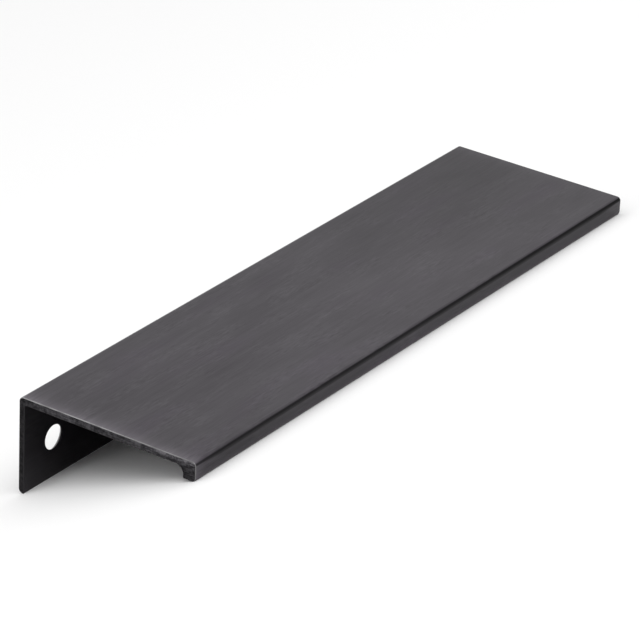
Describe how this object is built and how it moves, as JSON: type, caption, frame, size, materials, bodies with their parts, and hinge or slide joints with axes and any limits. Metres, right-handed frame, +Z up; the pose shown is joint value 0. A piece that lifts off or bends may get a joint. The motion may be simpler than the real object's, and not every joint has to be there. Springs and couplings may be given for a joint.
{
  "type": "handleless finger pull profile",
  "caption": "Extruded aluminium edge pull for a drawer or door front: flat plate, finger lip at the front, screwed leg at the back.",
  "frame": {"origin": "on the floor, below the middle of the whole length and depth, with the profile as it comes to rest on its lip and the foot of its leg", "axes": "+X along the profile, +Y from the lip towards the leg, +Z up; the plate slopes 22.68 degrees down towards the lip"},
  "size_m": [0.1456, 0.044, 0.0186],
  "materials": {
    "dark_anodised_aluminium": "dark gunmetal anodised over brushing along the length, sawn ends"
  },
  "bodies": {
    "root": {"finger_pull_profile": "dark_anodised_aluminium"}
  },
  "joints": []
}
